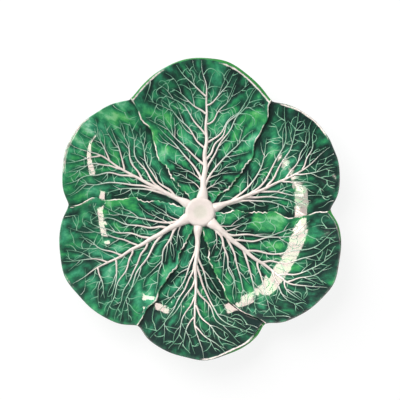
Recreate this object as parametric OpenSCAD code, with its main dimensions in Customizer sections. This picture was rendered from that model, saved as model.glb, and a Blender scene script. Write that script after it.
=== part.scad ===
// Leaf serving plate: six glazed earthenware cabbage leaves lapped round a cut stalk, on a turned foot ring.
// Three upper leaves lap over the edges of three lower ones, and raised veins branch from a midrib on each leaf.
// The origin is on the table under the stalk, +Z is up, and +Y points along the top leaf.

/* [Plate] */
// Span across two opposite leaf tips
plate_d = 300; // [270:5:340]
// Height of the leaf tips above the table
rim_h = 36; // [30:1:48]
// Diameter of the well, where the wall starts to rise
well_d = 190; // [170:5:210]
// Half the width of the turn from the well into the wall
cove_w = 14; // [8:1:18]

/* [Leaves] */
// Thickness of a leaf blade
leaf_t = 5.5; // [4.5:0.5:8]
// Thickness of a leaf along its rim
edge_t = 2.6; // [1.6:0.2:4]
// How far the notch between two leaves lies inside the tips
notch_depth = 14.3; // [8:0.1:22]
// How far the rim rolls down outside its crest
lip_drop = 1.4; // [0.6:0.1:2]
// Width of the rolled rim, seen from above
lip_w = 4; // [2:0.5:6]
// Length over which a blade thins to its rim
thin_w = 12; // [8:1:18]
// Degrees by which an upper leaf spreads over its clockwise neighbour
spread_cw = 15; // [8:1:17]
// Degrees by which an upper leaf spreads over its counter-clockwise neighbour
spread_ccw = 4; // [0:1:6]
// Extra degrees of spread on the clockwise side, close to the stalk
root_flare = 7; // [0:1:8]
// Width of the lap that holds two neighbouring leaves together
lap = 8; // [4:1:10]
// Height of an upper leaf's edge above the leaf that it covers
lap_rise = 3; // [2.6:0.2:5]
// Height of an upper leaf's middle above the dish
upper_rise = 0.8; // [0:0.1:2]
// Swelling of a lower leaf's blade between its laps
lower_crown = 1.2; // [0:0.1:2.4]

/* [Veins] */
// Width of a midrib at the stalk
midrib_w = 9; // [6:0.5:10]
// Width of a midrib at its tip
midrib_tip_w = 1.6; // [1:0.1:3]
// Height of a midrib at the stalk
midrib_h = 2.8; // [1.5:0.1:4]
// Height of a midrib at its tip
midrib_tip_h = 0.7; // [0.4:0.1:1.2]
// Width of a side vein where it leaves the midrib
side_w = 3; // [1.6:0.2:3.6]
// Width of a side vein at its end
side_tip_w = 0.9; // [0.6:0.1:1.4]
// Height of a side vein where it leaves the midrib
side_h = 1.5; // [0.8:0.1:2.2]
// Height of a side vein at its end
side_tip_h = 0.5; // [0.3:0.1:0.8]
// Side veins on each half of a leaf
side_count = 4; // [2:1:5]

/* [Stalk] */
// Diameter of the cut stalk
stalk_d = 31; // [26:1:38]
// Height of the stalk above the floor of the well
stalk_rise = 4; // [2:0.5:7]
// Rounding of the stalk's top edge
stalk_round = 2; // [0.5:0.5:2]
// Depth of the dimple in the cut face
dimple = 0.8; // [0.2:0.1:1.5]

/* [Foot] */
// Height of the foot ring
foot_h = 6; // [5:0.5:9]
// Width of the foot ring
foot_w = 6; // [4:0.5:9]
// Distance of the foot ring inside the flat floor of the well
foot_inset = 3; // [0:0.5:12]
// Rounding of the foot ring's standing edges
foot_round = 1.2; // [0.5:0.1:1.8]

/* [Hidden] */
// Clearance left between pieces for the slip that joins them
slip = 0.25;
leaf_count = 6;
leaf_pitch = 360 / leaf_count;
rim_half = leaf_pitch / 2;
tip_r = plate_d / 2;
notch_r = tip_r - notch_depth;
// Centre and radius of the circle that rounds a leaf's end, through its tip and both notches
lobe_c = (pow(tip_r, 2) - pow(notch_r, 2)) / (2 * (tip_r - notch_r * cos(rim_half)));
lobe_r = tip_r - lobe_c;
well_r = well_d / 2;
stalk_r = stalk_d / 2;
root_r = stalk_r + slip;
floor_z = foot_h + leaf_t;
wall_slope = (rim_h - floor_z) / (tip_r - well_r);
foot_r = well_r - cove_w - foot_inset;

// Share of the way out where a leaf's side edges start to draw in to the rim, and how fast the flare fades
shoulder_at = 0.5;
flare_fade = 4;
// Widest lap, in degrees, close to the stalk
lap_max = 7;

// Rows of points along a leaf, packed closer towards the rim, and columns across it
leaf_rows = 18;
row_packing = 1.3;
inner_cols = 9;
// How far the second column beside a lap's step lies inside it, as a share of one column, on each face
step_share = 0.35;
step_draft = 0.1;
midrib_rows = 14;
side_rows = 7;
arc_steps = 6;

// Sections of a midrib and of a side vein, as shares of half the width and of the height
midrib_section = [[-1, 0], [-0.62, 0.72], [0, 1], [0.62, 0.72], [1, 0]];
side_section = [[-1, 0], [-0.5, 1], [0.5, 1], [1, 0]];
// Thickness of a vein along its two edges
vein_edge = 0.2;

// Share of each leaf's width at which its midrib runs, counted from the clockwise edge
top_mid = 0.52;
upper_left_mid = 0.63;
lower_left_mid = 0.56;
bottom_mid = 0.54;
lower_right_mid = 0.45;
upper_right_mid = 0.42;
// Share of a leaf's length at which its midrib ends, and the curve of the midrib's taper
midrib_end = 0.95;
midrib_taper = 0.6;
// Side veins: shares of the leaf's length at the first and last roots, and at the first and last ends
upper_side_first = 0.1;
lower_side_first = 0.2;
side_last = 0.56;
side_stagger = 0.07;
side_first_end = 0.78;
side_last_end = 0.88;
// Side veins: shares of the half leaf that the first and last ones cross, and their curve
side_first_reach = 0.86;
side_last_reach = 0.36;
side_curve = 1.25;

leaf_green = [0.15, 0.44, 0.29];
vein_white = [0.96, 0.91, 0.88];
clay_cream = [0.84, 0.76, 0.64];

// Leaf axes, in degrees counter-clockwise from +X
top_axis = 90;
upper_left_axis = top_axis + leaf_pitch;
lower_left_axis = upper_left_axis + leaf_pitch;
bottom_axis = lower_left_axis + leaf_pitch;
lower_right_axis = bottom_axis + leaf_pitch;
upper_right_axis = lower_right_axis + leaf_pitch;

// The two kinds of leaf
UPPER = 1;
LOWER = 0;

// Shape of the dish and of the leaves' outlines

function clamp01(t) = min(max(t, 0), 1);
function smooth(t) = let (x = clamp01(t)) x * x * (3 - 2 * x);
function mix(a, b, t) = a + (b - a) * t;
function arc_deg(length, r) = length / r * 180 / PI;

// Distance of a leaf's rim from the centre, at an angle from the leaf's own axis
function rim_r(phi) = lobe_c * cos(phi) + sqrt(pow(lobe_r, 2) - pow(lobe_c * sin(phi), 2));
function rim_r_at(w) = rim_r(mix(-rim_half, rim_half, clamp01(w)));

// Height of the dish's upper face: a flat floor, a round turn and a straight wall
function dish_z(r) =
    let (turned = min(max(r - well_r + cove_w, 0), 2 * cove_w), past = max(r - well_r - cove_w, 0))
    floor_z + wall_slope * (turned * turned / (4 * cove_w) + past);

// Side edges of an upper leaf, in degrees from its axis, at a share s of the way out
function drawn_in(s) = 1 - smooth((s - shoulder_at) / (1 - shoulder_at));
function upper_cw(s) = -(rim_half + spread_cw * drawn_in(s) + root_flare * pow(1 - s, flare_fade));
function upper_ccw(s) = rim_half + spread_ccw * drawn_in(s);

// Edges of the part of a leaf that shows: a lower leaf shows between its two upper neighbours
function shown_cw(kind, s) = kind == UPPER ? upper_cw(s) : upper_ccw(s) - leaf_pitch;
function shown_ccw(kind, s) = kind == UPPER ? upper_ccw(s) : leaf_pitch + upper_cw(s);
function shown_deg(kind, s) = shown_ccw(kind, s) - shown_cw(kind, s);

// A point of a leaf: s runs from the stalk to the rim, w from the clockwise edge to the other
function leaf_r(s, w) = mix(root_r, rim_r_at(w), s);
function leaf_phi(kind, s, w) = mix(shown_cw(kind, s), shown_ccw(kind, s), w);
function leaf_xy(kind, s, w) =
    let (r = leaf_r(s, w), phi = leaf_phi(kind, s, w)) [r * cos(phi), r * sin(phi)];

// How far a leaf's upper face stands above the dish: an upper leaf is cupped, a lower one crowned
function face_rise(kind, w) =
    let (v = min(abs(2 * w - 1), 1))
    kind == UPPER ? mix(upper_rise, lap_rise, v * v) : lower_crown * pow(1 - v * v, 2);

// Both faces of a leaf: the rim rolls down over its last few millimetres, where the blade also thins
function to_rim(s, w) = (1 - s) * (rim_r_at(w) - root_r);
function lip(s, w) = lip_drop * (1 - smooth(to_rim(s, w) / lip_w));
function top_z(kind, s, w) = dish_z(leaf_r(s, w)) + face_rise(kind, w) - lip(s, w);
function under_z(kind, s, w) =
    let (body = smooth(to_rim(s, w) / thin_w))
    top_z(kind, s, w) - mix(edge_t, leaf_t + face_rise(kind, w), body);

// Laps: an upper leaf is stepped over the tongue that its neighbour slides beneath it
function lap_deg(s) = min(arc_deg(lap, mix(root_r, notch_r, s)), lap_max);
function lap_w(s) = lap_deg(s) / shown_deg(UPPER, s);
function inner_w(s, k) = mix(lap_w(s), 1 - lap_w(s), k / (inner_cols + 1));
function upper_w(s, share) = concat(
    [0, inner_w(s, 0), inner_w(s, share)],
    [for (k = [1 : inner_cols]) inner_w(s, k)],
    [inner_w(s, inner_cols + 1 - share), inner_w(s, inner_cols + 1), 1]);

// A tongue ends one slip short of the step, which is read off the upper leaf at the same radius
function step_s(s) = s * (notch_r - root_r) / (rim_r_at(lap_w(s)) - root_r);
function slip_deg(s) = arc_deg(slip, mix(root_r, notch_r, s));
function tongue_cw(s) =
    let (q = step_s(s)) upper_ccw(q) - lap_deg(q) + slip_deg(s) - leaf_pitch;
function tongue_ccw(s) =
    let (q = step_s(s)) upper_cw(q) + lap_deg(q) - slip_deg(s) + leaf_pitch;
function lower_w(s) = concat(
    [(tongue_cw(s) - shown_cw(LOWER, s)) / shown_deg(LOWER, s)],
    [for (k = [0 : inner_cols + 1]) k / (inner_cols + 1)],
    [(tongue_ccw(s) - shown_cw(LOWER, s)) / shown_deg(LOWER, s)]);

// A closed solid from two equal grids of points: rows run outward and columns counter-clockwise
module sheet(top, under) {
    rows = len(top) - 1;
    cols = len(top[0]) - 1;
    function t(i, j) = i * (cols + 1) + j;
    function u(i, j) = (rows + 1 + i) * (cols + 1) + j;
    function quad(a, b, c, d) = [[a, b, c], [a, c, d]];
    points = concat([for (row = top) each row], [for (row = under) each row]);
    faces = [
        for (i = [0 : rows - 1]) for (j = [0 : cols - 1])
            each concat(quad(t(i, j), t(i, j + 1), t(i + 1, j + 1), t(i + 1, j)),
                        quad(u(i, j), u(i + 1, j), u(i + 1, j + 1), u(i, j + 1))),
        for (i = [0 : rows - 1])
            each concat(quad(t(i, 0), t(i + 1, 0), u(i + 1, 0), u(i, 0)),
                        quad(t(i + 1, cols), t(i, cols), u(i, cols), u(i + 1, cols))),
        for (j = [0 : cols - 1])
            each concat(quad(t(0, j + 1), t(0, j), u(0, j), u(0, j + 1)),
                        quad(t(rows, j), t(rows, j + 1), u(rows, j + 1), u(rows, j)))
    ];
    polyhedron(points, faces);
}

// Leaves, drawn along +X

leaf_s = [for (i = [0 : leaf_rows]) 1 - pow(1 - i / leaf_rows, row_packing)];

module upper_leaf() {
    top = [for (s = leaf_s)
        [for (w = upper_w(s, step_share)) [each leaf_xy(UPPER, s, w), top_z(UPPER, s, w)]]];
    under = [for (s = leaf_s) let (ws = upper_w(s, step_draft), last = len(ws) - 1)
        [for (j = [0 : last]) let (w = ws[j], on_lap = j < 2 || j > last - 2)
            [each leaf_xy(UPPER, s, w),
             on_lap ? dish_z(leaf_r(s, w)) + slip : under_z(UPPER, s, w)]]];
    color(leaf_green) sheet(top, under);
}

module lower_leaf() {
    top = [for (s = leaf_s)
        [for (w = lower_w(s)) [each leaf_xy(LOWER, s, w), top_z(LOWER, s, w)]]];
    under = [for (s = leaf_s)
        [for (w = lower_w(s)) [each leaf_xy(LOWER, s, w), under_z(LOWER, s, w)]]];
    color(leaf_green) sheet(top, under);
}

// Veins: a ridge that lies on a leaf's upper face along a list of [s, w] stations

function left_of(d) = [-d[1], d[0]] / norm(d);

module ridge(kind, stations, section, half_widths, heights) {
    last = len(stations) - 1;
    path = [for (p = stations) leaf_xy(kind, p[0], p[1])];
    function across(i) = left_of(path[min(i + 1, last)] - path[max(i - 1, 0)]);
    function place(i, share) = path[i] + across(i) * half_widths[i] * share;
    function seat(i, xy) = dish_z(norm(xy)) + face_rise(kind, stations[i][1]) + slip;
    top = [for (i = [0 : last]) [for (p = section) let (xy = place(i, p[0]))
        [each xy, seat(i, xy) + vein_edge + heights[i] * p[1]]]];
    under = [for (i = [0 : last]) [for (p = section) let (xy = place(i, p[0]))
        [each xy, seat(i, xy)]]];
    color(vein_white) sheet(top, under);
}

// Distance along the leaf's width from w to the nearer edge of what shows
function room(kind, s, w) =
    leaf_r(s, w) * shown_deg(kind, s) * PI / 180 * min(w, 1 - w) - slip;
function midrib_half(kind, mid, s) =
    min(mix(midrib_w, midrib_tip_w, pow(s / midrib_end, midrib_taper)) / 2, room(kind, s, mid));

module midrib(kind, mid) {
    shares = [for (i = [0 : midrib_rows]) i / midrib_rows];
    ridge(kind,
        [for (t = shares) [t * midrib_end, mid]],
        midrib_section,
        [for (t = shares) midrib_half(kind, mid, t * midrib_end)],
        [for (t = shares) mix(midrib_h, midrib_tip_h, t)]);
}

// One side vein, the k-th from the stalk, on side -1 or 1 of the midrib
module side_vein(kind, mid, side, k) {
    t = k / max(side_count - 1, 1);
    first = kind == UPPER ? upper_side_first : lower_side_first;
    s0 = mix(first, side_last, t) + (side > 0 ? side_stagger : 0);
    s1 = mix(side_first_end, side_last_end, t);
    mm_per_w = leaf_r(s0, mid) * shown_deg(kind, s0) * PI / 180;
    w0 = mid + side * (midrib_half(kind, mid, s0) + side_w / 2 + slip) / mm_per_w;
    w1 = mix(mid, side > 0 ? 1 : 0, mix(side_first_reach, side_last_reach, t));
    shares = [for (i = [0 : side_rows]) i / side_rows];
    ridge(kind,
        [for (u = shares) [mix(s0, s1, u), mix(w0, w1, pow(u, side_curve))]],
        side_section,
        [for (u = shares) mix(side_w, side_tip_w, u) / 2],
        [for (u = shares) mix(side_h, side_tip_h, u)]);
}

module side_veins(kind, mid) {
    for (side = [-1, 1])
        for (k = [0 : side_count - 1])
            side_vein(kind, mid, side, k);
}

// Stalk: the round cut end in the middle, with a rounded edge and a shallow dimple

module stalk() {
    top = floor_z + stalk_rise;
    flat_r = stalk_r - stalk_round;
    edge = [for (i = [0 : arc_steps]) let (a = 90 * i / arc_steps)
        [flat_r + stalk_round * cos(a), top - stalk_round + stalk_round * sin(a)]];
    face = [for (i = [1 : arc_steps]) let (t = i / arc_steps)
        [flat_r * (1 - t), top - dimple * smooth(t)]];
    color(vein_white)
        rotate_extrude() polygon(concat([[0, foot_h], [stalk_r, foot_h]], edge, face));
}

// Foot ring: turned under the well, with rounded standing edges

module foot_ring() {
    inner_r = foot_r - foot_w;
    corner = [for (i = [0 : arc_steps]) let (a = 90 * i / arc_steps) [sin(a), 1 - cos(a)] * foot_round];
    outside = [for (c = corner) [foot_r - foot_round + c[0], c[1]]];
    inside = [for (i = [arc_steps : -1 : 0]) [inner_r + foot_round - corner[i][0], corner[i][1]]];
    color(clay_cream)
        rotate_extrude() polygon(concat(outside, [[foot_r, foot_h], [inner_r, foot_h]], inside));
}

rotate(top_axis) upper_leaf();  // leaf_top
rotate(lower_left_axis) upper_leaf();  // leaf_lower_left
rotate(lower_right_axis) upper_leaf();  // leaf_lower_right
rotate(upper_left_axis) lower_leaf();  // leaf_upper_left
rotate(bottom_axis) lower_leaf();  // leaf_bottom
rotate(upper_right_axis) lower_leaf();  // leaf_upper_right
rotate(top_axis) midrib(UPPER, top_mid);  // midrib_top
rotate(lower_left_axis) midrib(UPPER, lower_left_mid);  // midrib_lower_left
rotate(lower_right_axis) midrib(UPPER, lower_right_mid);  // midrib_lower_right
rotate(upper_left_axis) midrib(LOWER, upper_left_mid);  // midrib_upper_left
rotate(bottom_axis) midrib(LOWER, bottom_mid);  // midrib_bottom
rotate(upper_right_axis) midrib(LOWER, upper_right_mid);  // midrib_upper_right
rotate(top_axis) side_veins(UPPER, top_mid);  // side_veins_top
rotate(lower_left_axis) side_veins(UPPER, lower_left_mid);  // side_veins_lower_left
rotate(lower_right_axis) side_veins(UPPER, lower_right_mid);  // side_veins_lower_right
rotate(upper_left_axis) side_veins(LOWER, upper_left_mid);  // side_veins_upper_left
rotate(bottom_axis) side_veins(LOWER, bottom_mid);  // side_veins_bottom
rotate(upper_right_axis) side_veins(LOWER, upper_right_mid);  // side_veins_upper_right
stalk();
foot_ring();
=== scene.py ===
import bpy
import math
import numpy as np
from collections import namedtuple
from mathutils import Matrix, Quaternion, Vector
from mathutils.kdtree import KDTree


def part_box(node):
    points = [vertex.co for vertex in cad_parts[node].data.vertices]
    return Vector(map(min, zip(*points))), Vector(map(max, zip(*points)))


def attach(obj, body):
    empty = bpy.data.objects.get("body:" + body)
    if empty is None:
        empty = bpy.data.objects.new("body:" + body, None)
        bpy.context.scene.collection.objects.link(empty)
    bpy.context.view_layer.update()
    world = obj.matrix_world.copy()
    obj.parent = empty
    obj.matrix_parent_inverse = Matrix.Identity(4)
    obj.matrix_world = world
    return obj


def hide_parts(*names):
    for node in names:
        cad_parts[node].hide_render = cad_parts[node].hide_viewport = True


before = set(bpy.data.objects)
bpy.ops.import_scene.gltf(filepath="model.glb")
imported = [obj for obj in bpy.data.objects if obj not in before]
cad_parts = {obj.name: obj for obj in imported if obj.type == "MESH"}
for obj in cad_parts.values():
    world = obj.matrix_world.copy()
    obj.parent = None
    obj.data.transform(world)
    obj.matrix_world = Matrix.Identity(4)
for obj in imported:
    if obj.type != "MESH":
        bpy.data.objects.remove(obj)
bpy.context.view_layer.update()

# Dish
# The leaves are slabs of earthenware pressed over one plaster mould, so all six share its flat floor,
# its round turn and its straight wall. Sizes are in millimetres, and the frame gives the main ones.
MM = 0.001
TIP_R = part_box("leaf_top")[1].y / MM
STALK_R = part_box("stalk")[1].x / MM
FOOT_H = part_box("foot_ring")[1].z / MM
LEAF_T = 5.5
RIM_H = 36.0
WELL_R = 95.0
COVE_W = 20.0
FLOOR_Z = FOOT_H + LEAF_T
WALL_SLOPE = (RIM_H - FLOOR_Z) / (TIP_R - WELL_R)


def smooth(t):
    t = np.clip(t, 0, 1)
    return t * t * (3 - 2 * t)


def mix(a, b, t):
    return a + (b - a) * t


def dish_z(r):
    turned = np.clip(r - WELL_R + COVE_W, 0, 2 * COVE_W)
    past = np.maximum(r - WELL_R - COVE_W, 0)
    return FLOOR_Z + WALL_SLOPE * (turned ** 2 / (4 * COVE_W) + past)


# Leaf outlines
# Each leaf is cut to a round lobe at the rim. The three upper leaves spread over their neighbours,
# further on their clockwise side, and their free edges are crimped by hand into loose waves and frills.
# Here s is a share along a leaf, from the stalk to the rim, and w one across it from its clockwise edge.

# The axis, and an upper leaf's edges cw and ccw from that axis, are in degrees: inside the well, on its
# wall and at the rim. Reach and tip are how far the lobe and its very tip stand past the mould's edge.
# A span of the crest runs between two shares across and has a strength, and the lip's has a width.
# Mid is the midrib's share across the leaf, at the stalk and at the rim.
Leaf = namedtuple("Leaf", "place axis upper reach tip seed crest lip mid cw ccw", defaults=(None, None))
LEAVES = [
    Leaf("top", axis=90, upper=True, reach=7.4, tip=0.6, seed=11,
         crest=((-0.3, 0.46, 0.82), (0.66, 1.3, 0.76)), lip=(-0.3, 1.3, 1.9),
         mid=(0.49, 0.5), cw=(46, 38, 33), ccw=(39, 32, 32)),
    Leaf("lower_left", axis=210, upper=True, reach=1.3, tip=0.0, seed=12,
         crest=((0.36, 0.6, 0.6),), lip=(0.38, 0.62, 1.3),
         mid=(0.535, 0.51), cw=(42, 38, 32), ccw=(36, 33, 32)),
    Leaf("lower_right", axis=330, upper=True, reach=2.5, tip=0.0, seed=13,
         crest=((0.05, 0.25, 0.5),), lip=(0.7, 1.2, 2.4),
         mid=(0.475, 0.47), cw=(47, 42, 30.5), ccw=(31, 27, 30)),
    Leaf("upper_left", axis=150, upper=False, reach=0.7, tip=0.0, seed=14,
         crest=((0.25, 0.85, 0.75),), lip=(0.0, 0.2, 1.0), mid=(0.59, 0.56)),
    Leaf("bottom", axis=270, upper=False, reach=0.7, tip=0.0, seed=15,
         crest=((0.42, 0.95, 0.88),), lip=(0.55, 1.1, 2.6), mid=(0.56, 0.51)),
    Leaf("upper_right", axis=30, upper=False, reach=0.2, tip=1.6, seed=16,
         crest=((0.45, 1.0, 0.85),), lip=(0.75, 1.0, 1.6), mid=(0.45, 0.455)),
]
PITCH = 60
RIM_HALF = PITCH / 2
NOTCH_DEPTH = 14.3
NOTCH_R = TIP_R - NOTCH_DEPTH
LOBE_C = (TIP_R ** 2 - NOTCH_R ** 2) / (2 * (TIP_R - NOTCH_R * math.cos(math.radians(RIM_HALF))))
LOBE_R = TIP_R - LOBE_C
SLIP = 0.25
ROOT_R = STALK_R + SLIP

# In degrees: the spread of a tip, of a notch and of its soft corner, and an upper leaf's flare at its root
TIP_SPREAD = 4
NOTCH_SPREAD = 4.5
NOTCH_SOFT = 1.4
ROOT_FLARE = 7

# How much deeper each notch is cut than the regular one, by its place round the plate
NOTCH_DIP = {0: 4.0, 60: 1.4, 120: 0.8, 180: 2.4, 240: 3.6, 300: 4.2}

# Ripples of the rim, each with its height and how many of them would go round the plate
RIM_RIPPLES = ((0.9, 11), (0.5, 23))
RIPPLE_SEED = 9


# The notch between two lobes is sponged round, so the rim never quite turns the corner
def rim_r(leaf, w):
    to_notch = RIM_HALF * (1 - np.abs(2 * np.clip(w, 0, 1) - 1))
    phi = np.radians(RIM_HALF - np.hypot(to_notch, NOTCH_SOFT)) * np.sign(w - 0.5)
    lobe = LOBE_C * np.cos(phi) + np.sqrt(LOBE_R ** 2 - (LOBE_C * np.sin(phi)) ** 2)
    phases = np.random.default_rng([leaf.seed, RIPPLE_SEED]).uniform(0, 2 * np.pi, 2)
    wave = sum(high * np.sin(count * phi + phase) for (high, count), phase in zip(RIM_RIPPLES, phases))
    tip = leaf.tip * np.exp(-(np.degrees(phi) / TIP_SPREAD) ** 2)
    dips = [NOTCH_DIP[(leaf.axis + turn) % 360] for turn in (-RIM_HALF, RIM_HALF)]
    dip = np.where(w < 0.5, *dips) * np.exp(-(to_notch / NOTCH_SPREAD) ** 2)
    return lobe + tip + (leaf.reach + wave) * np.cos(3 * phi) ** 2 - dip


def edge_deg(turns, s):
    on_wall = mix(turns[0], turns[1], smooth((s - 0.35) / 0.35))
    return mix(on_wall, turns[2], smooth((s - 0.7) / 0.3))


def upper_edges(leaf, s):
    return -edge_deg(leaf.cw, s) - ROOT_FLARE * (1 - s) ** 4, edge_deg(leaf.ccw, s)


def beside(leaf, turn):
    return next(other for other in LEAVES if (other.axis - leaf.axis - turn) % 360 == 0)


# A lower leaf shows between the edges of its two upper neighbours
def shown_edges(leaf, s):
    if leaf.upper:
        return upper_edges(leaf, s)
    return upper_edges(beside(leaf, -PITCH), s)[1] - PITCH, PITCH + upper_edges(beside(leaf, PITCH), s)[0]


# The frill of a free edge: long waves that the potter pinched, and short crimps nearer the stalk.
# Each has a height and a length.
LONG_WAVES = ((1.3, 38), (0.8, 21))
CRIMPS = ((0.45, 5.6), (0.3, 3.7))


def waves(shapes, r, phases):
    turns = ((high, r / length * 2 * np.pi + phase) for (high, length), phase in zip(shapes, phases))
    return sum(high * np.sin(angle) for high, angle in turns)


def frill(leaf, side, r):
    phases = np.random.default_rng([leaf.seed, side]).uniform(0, 2 * np.pi, 4)
    inner = 1 - smooth((r - 60) / 30)
    held = smooth((r - ROOT_R) / 12) * (1 - smooth((r - NOTCH_R + 14) / 14))
    crimped = waves(CRIMPS, r, phases[2:]) * (0.25 + 0.75 * inner)
    return (waves(LONG_WAVES, r, phases[:2]) + crimped) * held


def leaf_polar(leaf, s, w):
    cw, ccw = shown_edges(leaf, s)
    r = mix(ROOT_R, rim_r(leaf, w), s)
    phi = np.radians(mix(cw, ccw, w))
    if leaf.upper:
        phi = phi - frill(leaf, 0, r) / r * np.clip(1 - 2 * w, 0, 1) ** 4
        phi = phi + frill(leaf, 1, r) / r * np.clip(2 * w - 1, 0, 1) ** 4
    return r, phi


def leaf_xy(leaf, s, w):
    r, phi = leaf_polar(leaf, s, w)
    return np.stack([r * np.cos(phi), r * np.sin(phi)], -1)


# Shares along and across a leaf at a point of its plan, found by a few rounds of correction
def leaf_shares(leaf, xy):
    r = np.hypot(xy[..., 0], xy[..., 1])
    phi = np.degrees(np.arctan2(xy[..., 1], xy[..., 0]))
    w = np.full(r.shape, 0.5)
    for _ in range(6):
        s = np.clip((r - ROOT_R) / (rim_r(leaf, w) - ROOT_R), -0.1, 1.2)
        cw, ccw = shown_edges(leaf, np.clip(s, 0, 1))
        w = np.clip((phi - cw) / (ccw - cw), -0.3, 1.3)
    return s, w


def leaf_width(leaf, s):
    cw, ccw = shown_edges(leaf, s)
    return np.radians(ccw - cw) * mix(ROOT_R, NOTCH_R, s)


# Upper face of a bare blade, before its veins: an upper leaf is cupped and a lower one crowned
LAP_RISE = 3.0
UPPER_RISE = 0.8
LOWER_CROWN = 1.2


def blade_z(leaf, s, w):
    edgeward = np.minimum((2 * w - 1) ** 2, 1)
    lap_rise = mix(0.6 * LAP_RISE, LAP_RISE, smooth(s / 0.3))
    crown = LOWER_CROWN * smooth(s / 0.4) * (1 - edgeward) ** 2
    middle = mix(0.5 * LAP_RISE, UPPER_RISE, smooth(s / 0.35))
    rise = mix(middle, lap_rise, edgeward) if leaf.upper else crown
    return dish_z(mix(ROOT_R, rim_r(leaf, w), s)) + rise


def within(span, w, soft):
    return smooth((w - span[0]) / soft) * smooth((span[1] - w) / soft)


# The blade puffs up between thick veins, and a little between fine ones: height, and distance from a vein.
# The press left one welt on a wall: its height, its share along, its span across and its lean.
THICK_PUFF = (0.4, 7)
FINE_PUFF = (0.05, 2.4)
WELTS = {"upper_left": (0.3, 0.885, (0.3, 0.8), -0.3)}
NO_WELT = (0, 0.5, (0.5, 0.5), 0)
WELT_HALF = 0.032


def puff(shape, off):
    return shape[0] * (1 - np.exp(-(off / shape[1]) ** 2))


def puff_z(leaf, s, w, off_main, off_any):
    to_edge = np.minimum(w, 1 - w) * leaf_width(leaf, s)
    to_rim = (1 - s) * (rim_r(leaf, w) - ROOT_R)
    inside = smooth(to_edge / 5) * smooth((to_rim - 2.5) / 6) * smooth(s / 0.08)
    between = puff(THICK_PUFF, off_main) + puff(FINE_PUFF, off_any)
    calm = 1 - 0.85 * smooth((s - 0.55) / 0.15)
    high, along, span, lean = WELTS.get(leaf.place, NO_WELT)
    off_welt = s - along - lean * np.maximum(w - 0.5, 0)
    welt = high * np.exp(-(off_welt / WELT_HALF) ** 2) * within(span, w, 0.08)
    return between * inside * calm + welt


# Vein layout
# A midrib runs down every leaf, side veins leave it at a sharp angle and fork, and fine veins grow from
# those into the blade between them. They are rolled from thin coils of clay and pressed onto the leaf.
Vein = namedtuple("Vein", "path half height order")
MIDRIB, SIDE, TWIG = range(3)
MIDRIB_END = 0.98
RIM_END = 0.985
BLADE_END = 0.965
VEIN_STEP = 1.5


def resample(path):
    lengths = np.concatenate([[0], np.cumsum(np.hypot(*np.diff(path, axis=0).T))])
    count = max(int(lengths[-1] / VEIN_STEP), 3)
    along = np.linspace(0, lengths[-1], count + 1)
    return np.stack([np.interp(along, lengths, path[:, k]) for k in (0, 1)], -1)


def left_of(path):
    ahead = np.gradient(path, axis=0)
    ahead /= np.maximum(np.hypot(ahead[:, 0], ahead[:, 1]), 1e-9)[:, None]
    return np.stack([-ahead[:, 1], ahead[:, 0]], -1)


def towards(heading):
    return np.array([math.cos(heading), math.sin(heading)])


def gaps(points, point):
    return np.hypot(*(points - point).T)


# A slow seeded wobble along a vein, nothing at its root
def wobble(path, amount, rng):
    along = np.arange(len(path)) * VEIN_STEP
    wave = sum(rng.uniform(-1, 1) * np.sin(along / rng.uniform(22, 60) * 2 * np.pi + rng.uniform(0, 6.3))
               for _ in range(4))
    fade = smooth(along / 14)
    return path + left_of(path) * (wave * fade * amount)[:, None]


def crest_share(leaf, w):
    return sum(span[2] * within(span, w, 0.12) for span in leaf.crest)


def midrib_w(leaf, s):
    return mix(leaf.mid[0], leaf.mid[1], s ** 2)


# A midrib swells where it meets the stalk, and runs up onto it until it is lost in the stalk's face
UPPER_HALF = 4.0
LOWER_HALF = 3.3
MIDRIB_END_HALF = 0.3
MIDRIB_HIGH = (2.9, 0.4)


def midrib_half(leaf, s):
    room = leaf_width(leaf, s) * np.minimum(midrib_w(leaf, s), 1 - midrib_w(leaf, s)) - SLIP
    root = UPPER_HALF if leaf.upper else LOWER_HALF
    return np.minimum(mix(root, MIDRIB_END_HALF, (s / MIDRIB_END) ** 0.6), room)


def lay_midrib(leaf, rng):
    s = np.linspace(-0.04, MIDRIB_END, 94)
    path = wobble(leaf_xy(leaf, s, midrib_w(leaf, s)), 0.35, rng)
    swollen = midrib_half(leaf, np.maximum(s, 0)) + 1.8 * (1 - smooth(s / 0.09))
    half = swollen * (1 - 0.4 * smooth((s - 0.7) / 0.25))
    lost = 1.3 * smooth((0.03 - s) / 0.07)
    lifted = (0 if leaf.upper else 1.2) * (1 - smooth(s / 0.1))
    height = mix(*MIDRIB_HIGH, np.maximum(s / MIDRIB_END, 0) ** 0.8) - lost + lifted
    return Vein(path, half, height, MIDRIB)


# The run of a vein that leaves the midrib to one side and reaches a share of the way to the leaf's edge
def run_out(leaf, side, s, reach, bend):
    root = midrib_w(leaf, s[0])
    end = mix(root, 1.0 if side > 0 else 0.0, reach)
    return resample(leaf_xy(leaf, s, mix(root, end, np.linspace(0, 1, len(s)) ** bend)))


# Side veins leave the midrib one after another, the first ones thickest, and most run out to the rim
SIDE_ROOTS = 6
SIDE_HALF = (1.7, 1.05)
SIDE_END_HALF = 0.22
SIDE_HIGH = (1.2, 0.2)


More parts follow.
